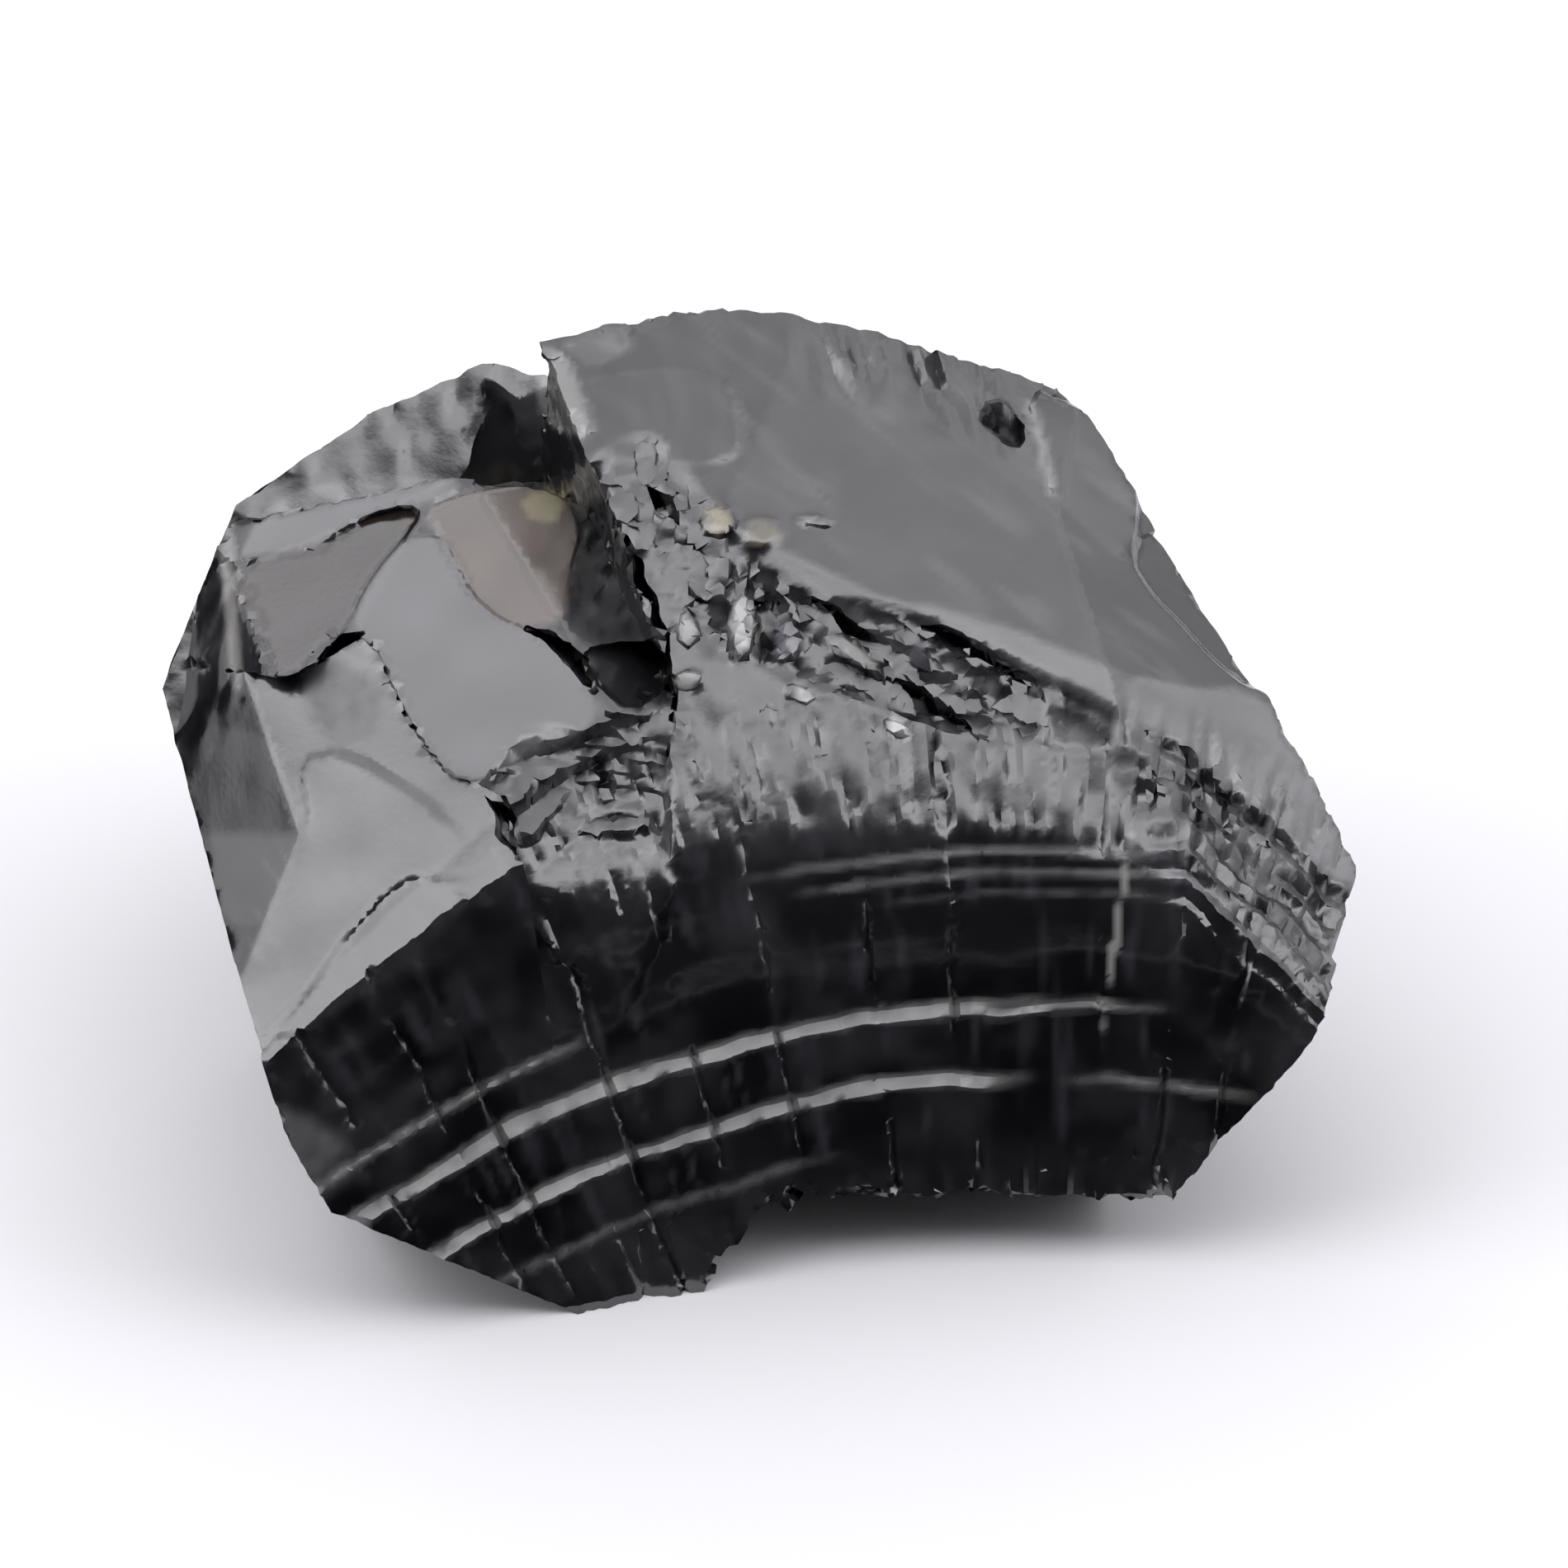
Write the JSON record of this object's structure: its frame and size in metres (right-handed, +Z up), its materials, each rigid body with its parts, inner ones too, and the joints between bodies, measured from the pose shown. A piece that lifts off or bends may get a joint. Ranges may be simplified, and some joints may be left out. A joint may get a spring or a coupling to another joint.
{
  "type": "raw shungite stone",
  "caption": "Raw lump of glossy black rock with a curved ribbed fracture face at the front, a stepped flake at the left and a sloping crown.",
  "frame": {"origin": "middle of the base of the stone's bounding box, on the surface that it rests on", "axes": "+Z up as the stone rests, +X along its longest extent, the ribbed fracture face looks to -Y"},
  "size_m": [0.0282, 0.0206, 0.0169],
  "materials": {
    "stone": "half-metallic gloss on fresh fracture faces, with hackled and rippled edges"
  },
  "bodies": {
    "root": {"stone": "stone"}
  },
  "joints": []
}
